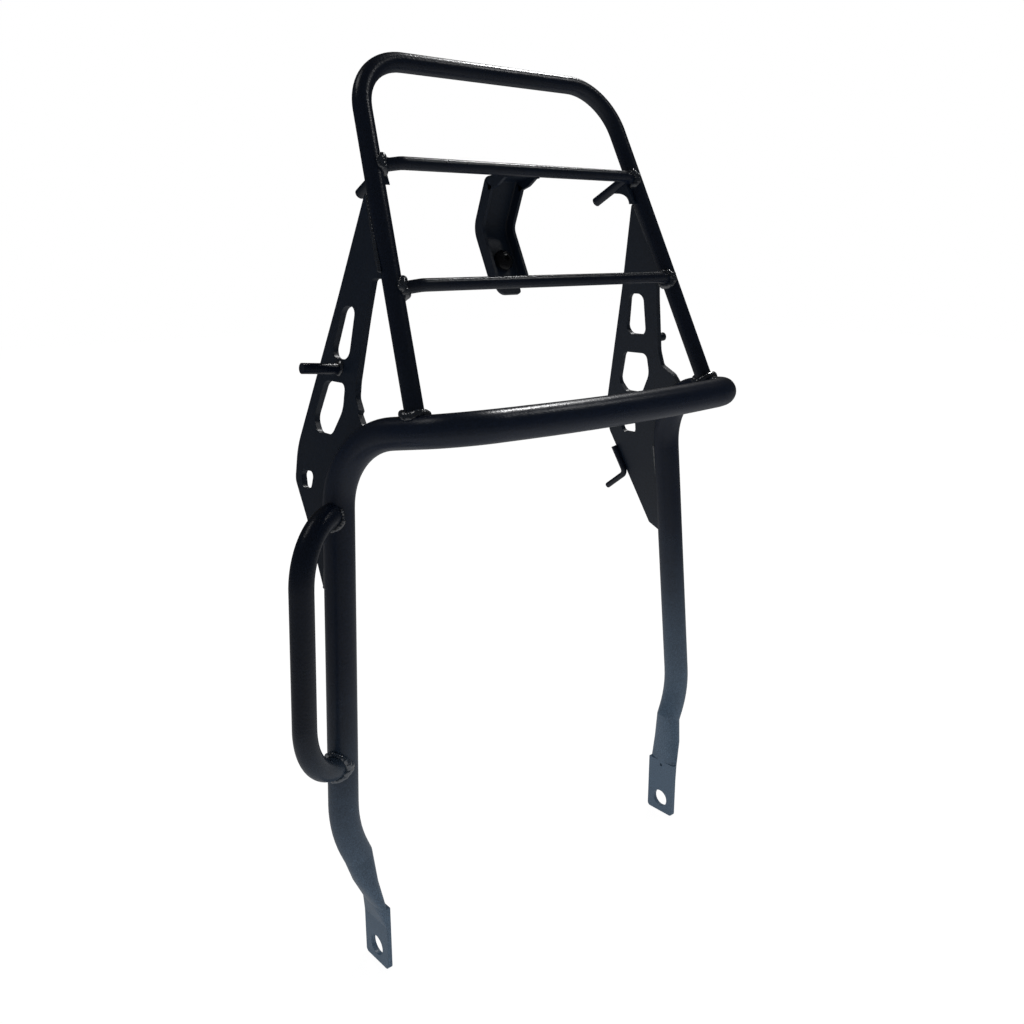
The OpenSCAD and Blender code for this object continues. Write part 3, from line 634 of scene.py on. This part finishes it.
# %% Make the floor
FLOOR_HALF = 6.0
PAPER_GLOW, GLOW_SHARE = 1.1, 0.86
PAPER_NEAR, PAPER_FAR = 0.5, 1.4  # metres from the middle, between which the paper fades
PAPER_GLOSS, ROOM_GLOSS = 0.22, 0.022
WHITE = (1, 1, 1, 1)
floor_z = min(v.co.z for v in nodes["main_hoop"].data.vertices)
mesh = bpy.data.meshes.new("floor")
mesh.from_pydata([(x * FLOOR_HALF, y * FLOOR_HALF, floor_z)
                  for x, y in ((-1, -1), (1, -1), (1, 1), (-1, 1))], [], [(0, 1, 2, 3)])
floor = bpy.data.objects.new("floor", mesh)
bpy.context.scene.collection.objects.link(floor)
paper = bpy.data.materials.new("white_paper_floor")
tree = empty_tree(paper)
rays = add(tree, "ShaderNodeLightPath").outputs
place = add(tree, "ShaderNodeTexCoord").outputs["Object"]
reach = add(tree, "ShaderNodeVectorMath", {"operation": "LENGTH"}, i0=place).outputs["Value"]
mirrored = spread(tree, reach, PAPER_NEAR, PAPER_FAR, PAPER_GLOSS, ROOM_GLOSS, smooth=True)
strength = add(tree, "ShaderNodeMix", Factor=rays["Is Glossy Ray"], i2=PAPER_GLOW, i3=mirrored)
matt = add(tree, "ShaderNodeBsdfDiffuse", Color=colour("#f2f2f2"))
glow = add(tree, "ShaderNodeEmission", Color=WHITE, Strength=strength.outputs[0])
mixed = add(tree, "ShaderNodeMixShader", i0=GLOW_SHARE, i1=matt.outputs[0], i2=glow.outputs[0])
add(tree, "ShaderNodeOutputMaterial", Surface=mixed.outputs[0])
floor.data.materials.append(paper)
print("floor at z, mm:", round(floor_z / MM, 2))

# %% [markdown]
# ## Room
# The background is white to the camera and through glass. In the coat's skin the studio
# room around the paper is dim, as in the photograph, where the upper tubes mirror nothing
# but the lamps. A full white there would lay a grey veil over all of the black coat.

# %% Light the room
ROOM_DIFFUSE, ROOM_SEEN = 0.5, 1.0
world = bpy.data.worlds.new("white_room")
bpy.context.scene.world = world
tree = empty_tree(world)
rays = add(tree, "ShaderNodeLightPath").outputs
seen = add(tree, "ShaderNodeMath", {"operation": "MAXIMUM"}, i0=rays["Is Camera Ray"],
           i1=rays["Is Transmission Ray"])
dim = add(tree, "ShaderNodeMix", Factor=rays["Is Glossy Ray"], i2=ROOM_DIFFUSE, i3=ROOM_GLOSS)
power = add(tree, "ShaderNodeMix", Factor=seen.outputs[0], i2=dim.outputs[0], i3=ROOM_SEEN)
room = add(tree, "ShaderNodeBackground", Color=WHITE, Strength=power.outputs[0])
add(tree, "ShaderNodeOutputWorld", Surface=room.outputs[0])
print("room seen by camera, diffuse and glossy rays:", ROOM_SEEN, ROOM_DIFFUSE, ROOM_GLOSS)

# %% [markdown]
# ## Softboxes
# A highlight in a tube tells where its lamp stands: the ray from the camera is mirrored
# there and leads to it. A small bright softbox on the right makes the speckled patch on the
# hoop's front run, the thin streaks along the bars and the glints on the weld beads. A dimmer
# one further round to the front draws the streak down the left frame tube and the handle. A
# wide weak one behind on the left lights the edges that face away.

# %% Hang the lamps
AIM = Vector((0, 0, 0.42))


def softbox(name, turn, rise, away, width, height, radiance):
    """A lamp seen from the rack at a turn from +Y to +X and a rise, in degrees."""
    turn, rise = math.radians(turn), math.radians(rise)
    way = Vector((math.sin(turn) * math.cos(rise), math.cos(turn) * math.cos(rise),
                  math.sin(rise)))
    data = bpy.data.lights.new(name, "AREA")
    data.shape = "RECTANGLE"
    data.size, data.size_y = width, height
    data.energy = radiance * math.pi * width * height
    lamp = bpy.data.objects.new(name, data)
    bpy.context.scene.collection.objects.link(lamp)
    lamp.matrix_world = (Matrix.Translation(AIM + way * away)
                         @ way.to_track_quat("Z", "Y").to_matrix().to_4x4())
    lamp.visible_camera = False
    print(name, "power, W:", round(data.energy, 1))


softbox("right_softbox", turn=61, rise=50, away=1.75, width=0.22, height=0.22, radiance=56)
softbox("front_softbox", turn=115, rise=50, away=1.9, width=0.24, height=0.24, radiance=8)
softbox("back_softbox", turn=-40, rise=55, away=2.0, width=0.6, height=0.5, radiance=1.5)

# %% [markdown]
# ## View transform
# The picture is shown through the plain Standard view transform.

# %% Finish: set the view transform
bpy.context.scene.view_settings.view_transform = "Standard"
